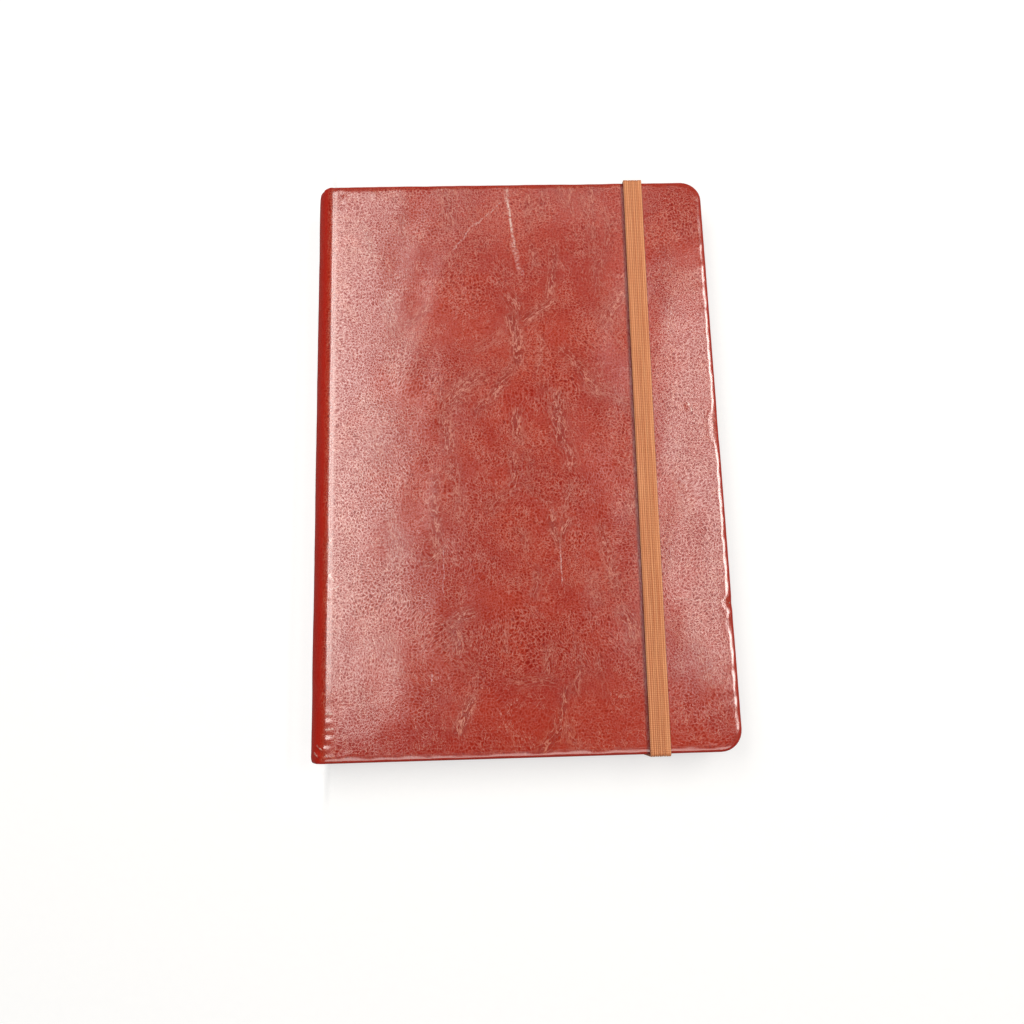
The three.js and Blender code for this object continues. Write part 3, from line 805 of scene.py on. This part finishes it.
def leather_grain():
    """Fine pebbles, hair lines and bundles of creases: pale lines that are partly painted highlights, dark
    middles, height and polish.
    """
    group, given, output = node_group(
        "leather_grain", {"Place": None, "Crease place": None, "Creased": 0.0, "Pebbled": 0.5},
        ("Pale lines and glints", "Dark", "Height", "Polish"),
    )
    place, creased, pebbled = given["Place"], given["Creased"], given["Pebbled"]
    drifted = shifted(group, place, 6.0, 0.035)
    cells = shifted(group, shifted(group, drifted, 0.5, 0.9), 0.25, 2.0)
    edge = cell_edges(group, cells, 1 / PEBBLE_SIZE)
    grooves = ranged(group, edge, 0.0, 0.1, 1.0, 0.0)
    rims = ranged(group, edge, 0.0, 0.16, 1.0, 0.0)
    middles = ranged(group, edge, 0.16, 0.4)
    breaks = ranged(group, noise(group, place, 0.9, 3.0, 0.7, flat=True), 0.38, 0.6)
    veil = ranged(group, noise(group, place, 0.1, 3.0, 0.6, flat=True), 0.4, 0.6)
    stretched = vector_maths(group, "MULTIPLY", drifted, (1.0, 0.5, 1.0))
    long_hairs = thread_lines(group, stretched, 0.42, 3.0, 0.022)
    swayed = shifted(group, vector_maths(group, "MULTIPLY", drifted, (1.0, 0.6, 1.0)), 0.3, 0.5)
    short_hairs = thread_lines(group, swayed, 0.85, 1.5, 0.045)
    run = shifted(group, vector_maths(group, "MULTIPLY", given["Crease place"], (0.3, 1.0, 1.0)), 0.3, 0.7)
    crease_hairs = thread_lines(group, run, 0.62, 2.0, 0.065)
    hairs = highest(
        group,
        product(group, long_hairs, veil, 0.85),
        product(group, short_hairs, breaks, pebbled, 0.45),
        product(group, crease_hairs, creased, maths(group, "MULTIPLY_ADD", breaks, 0.8, 1.1)),
    )
    # The pale rims and hairs are partly the grain's own paler lines and partly painted highlights on it.
    pale_rims = product(group, rims, maths(group, "MULTIPLY_ADD", breaks, 0.8, 0.2), pebbled, 0.7)
    pale = maths(group, "MAXIMUM", hairs, pale_rims, clamp=True)
    pitted = product(group, middles, maths(group, "MULTIPLY_ADD", pebbled, 0.6, 0.4))
    between = highest(group, pitted, product(group, creased, 0.8))
    dark = product(group, between, maths(group, "SUBTRACT", 1.0, pale))
    sunk = highest(group, product(group, grooves, maths(group, "MULTIPLY_ADD", pebbled, 0.5, 0.4)), hairs)
    fine = noise(group, place, 1.6, 3.0, 0.6, flat=True)
    height = maths(group, "MULTIPLY_ADD", fine, 0.4, maths(group, "SUBTRACT", 1.0, sunk))
    height = maths(group, "MULTIPLY_ADD", ranged(group, edge, 0.0, 0.42), 0.25, height)
    near_edge = ranged(group, edge, 0.08, 0.32, 1.0, 0.0)
    specks = product(group, near_edge, maths(group, "MULTIPLY_ADD", breaks, 0.45, 0.55))
    polish = maths(group, "MULTIPLY_ADD", highest(group, specks, hairs), 0.95, 0.05)
    fill(group, output, {"Pale lines and glints": pale, "Dark": dark, "Height": height, "Polish": polish})
    return group


def crease_and_glint_line():
    """A wandering pale line between two ends, used for creases and for painted highlights: 1 on it and 0 a
    width away. Places in mm.
    """
    group, given, output = node_group(
        "crease_and_glint_line",
        {
            "Place": None, "Centre X": 0.0, "Centre Y": 0.0, "Tilt": 0.0,
            "Length": 10.0, "Width": 0.3, "Wander": 1.0,
        },
        ("Crease",),
    )
    centre = put(group, "ShaderNodeCombineXYZ", {0: given["Centre X"], 1: given["Centre Y"]}).outputs[0]
    moved = vector_maths(group, "SUBTRACT", given["Place"], centre)
    back = product(group, given["Tilt"], -1.0)
    turned = put(group, "ShaderNodeVectorRotate", {"Vector": moved, "Angle": back}, rotation_type="Z_AXIS")
    split = parts(group, turned.outputs[0])
    sway = maths(group, "SUBTRACT", noise(group, given["Place"], 0.22, 3.0, 0.55, flat=True), 0.5)
    across = maths(group, "ABSOLUTE", maths(group, "MULTIPLY_ADD", sway, given["Wander"], split[1]))
    rim = maths(group, "SUBTRACT", 1.0, maths(group, "DIVIDE", across, given["Width"]), clamp=True)
    along = maths(group, "DIVIDE", maths(group, "ABSOLUTE", split[0]), product(group, given["Length"], 0.5))
    fade = ranged(group, along, 0.75, 1.0, 1.0, 0.0)
    fill(group, output, {"Crease": product(group, rim, fade)})
    return group


def woven_threads():
    """Crossing threads: their height and a mask of each thread's own tone. Places in mm."""
    group, given, output = node_group(
        "woven_threads", {"Place": None, "Across pitch": 0.4, "Along pitch": 0.4}, ("Height", "Tone"),
    )
    split = parts(group, given["Place"])
    lines = []
    for socket, pitch in ((split[0], given["Across pitch"]), (split[1], given["Along pitch"])):
        turns = product(group, maths(group, "DIVIDE", socket, pitch), math.tau)
        lines.append(maths(group, "MULTIPLY_ADD", maths(group, "SINE", turns), 0.5, 0.5))
    height = maths(group, "ADD", lines[0], product(group, lines[1], 0.7))
    stretched = vector_maths(group, "MULTIPLY", given["Place"], (3.0, 0.08, 1.0))
    fibre = noise(group, given["Place"], 4.0, 2.0, 0.6)
    height = maths(group, "ADD", height, product(group, fibre, 0.5))
    fill(group, output, {"Height": height, "Tone": noise(group, stretched, 0.6)})
    return group


def fibre_felt():
    """Short matted fibres, for paper, board and the back of leather. Places in mm."""
    group, given, output = node_group("fibre_felt", {"Place": None, "Size": 0.3}, ("Height", "Tone"))
    scale = maths(group, "DIVIDE", 1.0, given["Size"])
    fine = noise(group, given["Place"], scale, 4.0, 0.65)
    broad = noise(group, given["Place"], product(group, scale, 0.08), 3.0, 0.55)
    tone = maths(group, "MULTIPLY_ADD", fine, 0.4, product(group, broad, 0.6))
    fill(group, output, {"Height": fine, "Tone": tone})
    return group


def start_material(name):
    material = bpy.data.materials.new(name)
    material.use_nodes = True
    tree = material.node_tree
    tree.nodes.clear()
    shader = put(tree, "ShaderNodeBsdfPrincipled")
    put(tree, "ShaderNodeOutputMaterial", {0: shader.outputs[0]})
    return material, tree, shader


def sheet_place(tree):
    """Place on the unrolled sheet, in millimetres."""
    return put(tree, "ShaderNodeUVMap", uv_map="sheet").outputs[0]


def solid_place(tree):
    """Place on a solid, in millimetres, that goes with it as it moves."""
    return vector_maths(tree, "SCALE", put(tree, "ShaderNodeTexCoord").outputs["Object"], 1 / MM)


def block_back_place(tree):
    """Place on the back of the pages, across it and along it, in millimetres."""
    split = parts(tree, solid_place(tree))
    return put(tree, "ShaderNodeCombineXYZ", {0: split[2], 1: split[1]}).outputs[0]


def bumped(tree, height, distance):
    inputs = {"Height": height, "Distance": distance * MM, "Strength": 1.0}
    return put(tree, "ShaderNodeBump", inputs).outputs[0]


def woven(tree, place, across, along):
    """Height and tone of crossing threads with these pitches, in millimetres."""
    return use_group(tree, woven_threads, {"Place": place, "Across pitch": across, "Along pitch": along})


# Size of a pebble of the grain, in mm.
PEBBLE_SIZE = 1.05
# Single creases of the front cover, and painted highlights by its ridge, its tail and its nick, drawn as pale
# lines on the sheet: middle X and Y, tilt, length, half width, wander, strength.
COVER_CREASES_AND_GLINTS = (
    (66.2, 101.0, -88, 9, 1.2, 0.8, 0.7),
    (67.1, 92.5, -85, 16, 0.65, 0.9, 1.4),
    (67.9, 86.0, -82, 14, 0.8, 2.2, 0.9),
    (69.2, 76.0, -78, 17, 1.2, 3.0, 0.5),
    (58.9, 94.0, 42, 16, 0.4, 2.2, 0.55),
    (49.8, 85.0, 50, 16, 0.4, 2.2, 0.55),
    (81.4, -41.0, -89, 17, 0.35, 0.8, 0.75),
    (40.2, -43.0, -91, 18, 0.28, 2.0, 0.4),
    (35.7, -79.5, -95, 4, 0.35, 0.5, 0.6),
    (126.5, -54.8, -6, 22, 0.5, 1.2, 0.3),
    (130.7, 15.5, -70, 4, 0.5, 0.3, 1.4),
    (1.4, -44.0, -60, 3.5, 0.8, 0.6, 1.2),
    (2.6, -47.5, 20, 3.5, 0.5, 0.6, 0.9),
    (1.0, -31.7, -80, 4, 0.5, 0.5, 0.9),
    (1.0, -90.2, 0, 3, 0.4, 0.3, 1.3),
    (1.2, -95.2, 5, 3.2, 0.45, 0.3, 1.3),
    (-2.4, -101.2, -35, 3.4, 0.4, 0.3, 1.1),
    (-3.9, -103.4, -30, 3.0, 0.4, 0.3, 1.0),
)
# How strongly the painted shadow of the strap darkens the cover, beside its inner edge.
STRAP_SHADOW_STRENGTH = 0.75


def painted_strap_shadow(tree, place):
    """A mask along the strap's inner edge on the front cover, where the strap's shadow is painted."""
    split = parts(tree, place)
    edge = STRAP_X - RIDGE_X - STRAP_WIDTH / 2
    skewed = maths(tree, "MULTIPLY_ADD", split[1], STRAP_SKEW / HALF_LENGTH, edge)
    from_edge = maths(tree, "ADD", maths(tree, "SUBTRACT", split[0], skewed), 0.1)
    return ranged(tree, maths(tree, "ABSOLUTE", from_edge), 0.5, 1.5, 1.0, 0.0)


def on_spine(tree, place):
    """A mask over the rounded spine, between the two ridges."""
    half = RIDGE_ANGLE * SPINE_RADIUS
    from_back = maths(tree, "ABSOLUTE", maths(tree, "ADD", parts(tree, place)[0], half))
    return ranged(tree, from_back, half - 3.0, half - 0.6, 1.0, 0.0)


def attribute(tree, name, socket="Fac"):
    return put(tree, "ShaderNodeAttribute", attribute_name=name).outputs[socket]


def creases_and_painted_glints(tree, place):
    """A mask of the single creases and of the painted highlights, broken up by a fine speckle."""
    lines = []
    for x, y, tilt, length, width, sway, strength in COVER_CREASES_AND_GLINTS:
        line = use_group(tree, crease_and_glint_line, {
            "Place": place, "Centre X": x, "Centre Y": y, "Tilt": math.radians(tilt),
            "Length": length, "Width": width, "Wander": sway,
        })[0]
        lines.append(product(tree, line, strength))
    speckle = ranged(tree, noise(tree, place, 1.0, 3.0, 0.7, flat=True), 0.42, 0.58, 0.1, 1.0)
    return product(tree, highest(tree, *lines), speckle)


def oxblood_leather(name, ior, specular):
    material, tree, shader = start_material(name)
    place = sheet_place(tree)
    patches = noise(tree, place, 0.05, 4.0, 0.6, flat=True)
    calm_tail = ranged(tree, parts(tree, place)[1], -104.0, -60.0, 0.4, 1.0)
    grain = use_group(tree, leather_grain, {
        "Place": place, "Crease place": attribute(tree, "crease_place", "Vector"),
        "Creased": attribute(tree, "creased"),
        "Pebbled": product(tree, ranged(tree, patches, 0.36, 0.6, 0.4, 1.0), calm_tail),
    })
    creases = creases_and_painted_glints(tree, place)
    rim = attribute(tree, "rim")
    spine = on_spine(tree, place)
    tone = noise(tree, place, 0.035, 4.0, 0.62, flat=True)
    colour = mixed(tree, ranged(tree, tone, 0.36, 0.64), srgb(171, 36, 13), srgb(182, 48, 22))
    colour = painted(tree, colour, (
        # Pale grain lines: partly the leather's own paler lines, partly painted highlights.
        (grain["Pale lines and glints"], 0.62, (230, 146, 116)),
        (grain["Dark"], 0.75, (122, 15, 6)),
        (ranged(tree, rim, 0.3, 0.85), 0.8, (182, 38, 16)),
        (spine, 0.85, (188, 26, 7)),
        # Pale crease lines, partly real creases and partly painted highlights.
        (creases, 0.85, (238, 200, 188)),
        # A painted shadow of the strap, dark along its inner edge.
        (painted_strap_shadow(tree, place), STRAP_SHADOW_STRENGTH, (96, 12, 6)),
    ))
    by_ridge = maths(tree, "ABSOLUTE", maths(tree, "SUBTRACT", parts(tree, place)[0], 0.4))
    burnished = highest(tree, ranged(tree, by_ridge, 0.6, 2.2, 1.0, 0.0), ranged(tree, rim, 0.02, 0.12))
    dull = highest(tree, ranged(tree, rim, 0.7, 0.95), spine)
    rough = maths(tree, "MULTIPLY_ADD", grain["Dark"], 0.05, ranged(tree, dull, 0.0, 1.0, 0.13, 0.5))
    polish = product(tree, highest(tree, grain["Polish"], burnished), maths(tree, "SUBTRACT", 1.0, dull))
    height = maths(tree, "MULTIPLY_ADD", creases, 1.5, grain["Height"])
    height = product(tree, height, maths(tree, "MULTIPLY_ADD", burnished, -0.8, 1.0))
    fill(tree, shader, {
        "Base Color": colour, "Roughness": rough, "Coat Weight": polish,
        "Normal": bumped(tree, height, 0.035),
        "IOR": ior, "Specular IOR Level": specular, "Coat Roughness": 0.2, "Coat IOR": 1.95,
    })
    return material


def leather_flesh_side():
    return felt_look("leather_flesh_side", sheet_place, srgb(96, 52, 40), srgb(140, 88, 70), 0.35, 0.95, 0.06)


def tan_elastic():
    material, tree, shader = start_material("tan_elastic")
    place = sheet_place(tree)
    weave = woven(tree, place, STRAP_WIDTH / RIBS, 0.62)
    across = parts(tree, place)[0]
    lines = []
    for offset, _ in GROOVES:
        away = maths(tree, "ABSOLUTE", maths(tree, "SUBTRACT", across, offset))
        lines.append(ranged(tree, away, 0.04, 0.2, 1.0, 0.0))
    tone = ranged(tree, weave["Tone"], 0.36, 0.64)
    # Painted shade darkens the grooves and the hollows of the weave; a painted highlight lightens the tops of
    # the threads.
    colour = painted(tree, mixed(tree, tone, srgb(212, 125, 76), srgb(234, 154, 102)), (
        (highest(tree, *lines), 0.4, (150, 78, 34)),
        (ranged(tree, weave["Height"], 0.3, 1.3, 1.0, 0.0), 0.55, (158, 84, 40)),
        (ranged(tree, weave["Height"], 1.4, 1.9), 0.6, (255, 206, 160)),
    ))
    fill(tree, shader, {
        "Base Color": colour, "Normal": bumped(tree, weave["Height"], 0.08),
        "Roughness": 0.7, "Sheen Weight": 0.25, "Sheen Roughness": 0.5,
    })
    return material


def felt_look(name, where, dark, light, size, roughness, depth=0.015):
    """Matted fibres of one size between two colours."""
    material, tree, shader = start_material(name)
    felt = use_group(tree, fibre_felt, {"Place": where(tree), "Size": size})
    fill(tree, shader, {
        "Base Color": mixed(tree, felt["Tone"], dark, light), "Normal": bumped(tree, felt["Height"], depth),
        "Roughness": roughness,
    })
    return material


def writing_paper():
    return felt_look("writing_paper", solid_place, srgb(232, 222, 196), srgb(248, 242, 222), 0.5, 0.85)


def endpaper_sheet():
    return felt_look("endpaper_sheet", solid_place, srgb(224, 211, 180), srgb(240, 229, 204), 0.7, 0.8)


def binders_board():
    return felt_look("binders_board", solid_place, srgb(120, 112, 98), srgb(170, 160, 142), 0.8, 0.9)


def mull_cloth():
    material, tree, shader = start_material("mull_cloth")
    place = block_back_place(tree)
    height = woven(tree, place, 1.0, 1.0)["Height"]
    # Painted shade and painted highlight: the weave is darker in its hollows and lighter on its tops.
    colour = mixed(tree, ranged(tree, height, 0.4, 1.4), srgb(176, 160, 128), srgb(232, 224, 204))
    fill(tree, shader, {"Base Color": colour, "Normal": bumped(tree, height, 0.12), "Roughness": 0.95})
    return material


def striped_band():
    material, tree, shader = start_material("striped_band")
    place = block_back_place(tree)
    stripe = maths(tree, "SINE", product(tree, parts(tree, place)[0], math.tau / 1.3))
    height = woven(tree, place, 0.32, 0.6)["Height"]
    colour = mixed(tree, ranged(tree, stripe, -0.15, 0.15), srgb(232, 220, 196), srgb(132, 28, 20))
    # Painted shade darkens the hollows of the weave.
    colour = painted(tree, colour, ((ranged(tree, height, 0.2, 1.0, 1.0, 0.0), 0.4, (90, 40, 28)),))
    fill(tree, shader, {
        "Base Color": colour, "Normal": bumped(tree, height, 0.08), "Roughness": 0.75, "Sheen Weight": 0.2,
    })
    return material


def build_inside():
    board = binders_board()
    for node in ("front_board", "back_board", "spine_liner"):
        dress(node, board)
    cloth = mull_cloth()
    dress("spine_lining_front", cloth)
    dress("spine_lining_rear", cloth)
    band = striped_band()
    for node in ("headband_front", "headband_rear", "tailband_front", "tailband_rear"):
        dress(node, band)


def dress_anchors():
    """The strap's glued ends keep their solids, and their threads run the way the strap does."""
    material, tree, shader = start_material("elastic_end")
    weave = woven(tree, solid_place(tree), 0.39, 0.42)
    fill(tree, shader, {
        "Base Color": mixed(tree, weave["Tone"], srgb(206, 122, 74), srgb(240, 164, 112)),
        "Normal": bumped(tree, weave["Height"], 0.06), "Roughness": 0.7, "Sheen Weight": 0.25,
    })
    dress("elastic_anchor_head", material)
    dress("elastic_anchor_tail", material)


# Camera, floor and light.
CAMERA_PLACE = (-11.4, -87.9, 329.9)
CAMERA_TURN = (11.88, -1.27, -1.62)
CAMERA_LENS = 31.83


def place_camera():
    data = bpy.data.cameras.new("camera")
    data.lens = CAMERA_LENS
    data.sensor_width = 36
    camera = add_object("camera", data)
    camera.location = [c * MM for c in CAMERA_PLACE]
    camera.rotation_euler = [math.radians(a) for a in CAMERA_TURN]
    bpy.context.scene.camera = camera


# The floor has a shallow trough beside the spine, because the spine sinks there when the notebook lies open.
TROUGH_SIDES = (-94.0, -78.0, -71.5, -67.9)
TROUGH_HALF_Y = 108.0
TROUGH_FADE = 20.0
TROUGH_DEPTH = 3.7
FLOOR_HALF = 3000
FLOOR_GLOW = 0.62
WORLD_LIGHT = 0.1


def floor_shader():
    """A pale floor that glows for the camera, more so in the trough and far away, and is clear from below."""
    material, tree, shader = start_material("pale_floor")
    out = next(n for n in tree.nodes if n.type == "OUTPUT_MATERIAL")
    place = solid_place(tree)
    grain = noise(tree, place, 0.4, 3.0)
    grey = mixed(tree, grain, srgb(176, 176, 176), srgb(184, 184, 184))
    fill(tree, shader, {"Base Color": grey, "Roughness": 0.9})
    away = put(tree, "ShaderNodeVectorMath", {0: place}, operation="LENGTH").outputs["Value"]
    sunk = ranged(tree, parts(tree, place)[2], -TROUGH_DEPTH, 0.0, 0.08, 0.0)
    strength = maths(tree, "ADD", ranged(tree, away, 300.0, 1200.0, FLOOR_GLOW, 1.0), sunk)
    glow = put(tree, "ShaderNodeEmission", {"Color": (1, 1, 1, 1), "Strength": strength}).outputs[0]
    both = put(tree, "ShaderNodeAddShader", {0: shader.outputs[0], 1: glow}).outputs[0]
    seen = put(tree, "ShaderNodeLightPath").outputs["Is Camera Ray"]
    top = put(tree, "ShaderNodeMixShader", {0: seen, 1: shader.outputs[0], 2: both}).outputs[0]
    clear = put(tree, "ShaderNodeBsdfTransparent").outputs[0]
    below = put(tree, "ShaderNodeNewGeometry").outputs["Backfacing"]
    two_sided = put(tree, "ShaderNodeMixShader", {0: below, 1: top, 2: clear}).outputs[0]
    fill(tree, out, {0: two_sided})
    return material


def lay_floor():
    left, left_foot, right_foot, right = TROUGH_SIDES
    across = np.concatenate([
        [-FLOOR_HALF], np.linspace(left, left_foot, 15), np.linspace(right_foot, right, 9), [FLOOR_HALF],
    ])
    ends = TROUGH_HALF_Y + np.linspace(0, TROUGH_FADE, 15)
    along = np.concatenate([[-FLOOR_HALF], -ends[::-1], ends, [FLOOR_HALF]])
    sag = TROUGH_DEPTH * smooth_step(across, left, left_foot) * (1 - smooth_step(across, right_foot, right))
    share = 1 - smooth_step(np.abs(along), TROUGH_HALF_Y, TROUGH_HALF_Y + TROUGH_FADE)
    points = [(x, y, -down * part) for y, part in zip(along, share) for x, down in zip(across, sag)]
    floor = mesh_piece("floor", points, grid_faces(len(along), len(across)), [floor_shader()])


def light_world():
    world = bpy.data.worlds.new("studio")
    world.use_nodes = True
    tree = world.node_tree
    tree.nodes.clear()
    paths = put(tree, "ShaderNodeLightPath").outputs
    tint = {"Color": (1.0, 0.99, 0.97, 1), "Strength": WORLD_LIGHT}
    lit = put(tree, "ShaderNodeBackground", tint).outputs[0]
    white = put(tree, "ShaderNodeBackground", {"Color": (1, 1, 1, 1), "Strength": 1.0}).outputs[0]
    shown = put(tree, "ShaderNodeMixShader", {0: paths["Is Camera Ray"], 1: lit, 2: white}).outputs[0]
    put(tree, "ShaderNodeOutputWorld", {0: shown})
    bpy.context.scene.world = world


# Soft lights: middle in X, Y, Z, size in X and Y, and brightness of the panel.
SOFT_LIGHTS = (
    ("left_outer", (-350, 215, 600), (70, 590), 7.0),
    ("left_middle", (-235, 215, 600), (90, 590), 5.2),
    ("left_inner", (-148, 205, 600), (86, 620), 4.4),
    ("right_inner", (220, 140, 600), (95, 430), 4.4),
    ("right_outer", (430, 150, 600), (130, 520), 10.5),
    ("head_glow", (40, 500, 600), (300, 150), 1.2),
    ("front_fill", (0, -430, 600), (760, 200), 2.2),
)
LAMP_COLOUR = (1.0, 0.965, 0.91)


def hang_lights():
    for name, place, size, brightness in SOFT_LIGHTS:
        data = bpy.data.lights.new(name, "AREA")
        data.shape = "RECTANGLE"
        data.size, data.size_y = size[0] * MM, size[1] * MM
        data.energy = brightness * math.pi * data.size * data.size_y
        data.color = LAMP_COLOUR
        add_object(name, data).location = [c * MM for c in place]


bpy.context.scene.view_settings.view_transform = "Standard"
place_camera()
lay_floor()
light_world()
hang_lights()
build_case()
build_strap()
build_pages()
build_inside()
dress_anchors()
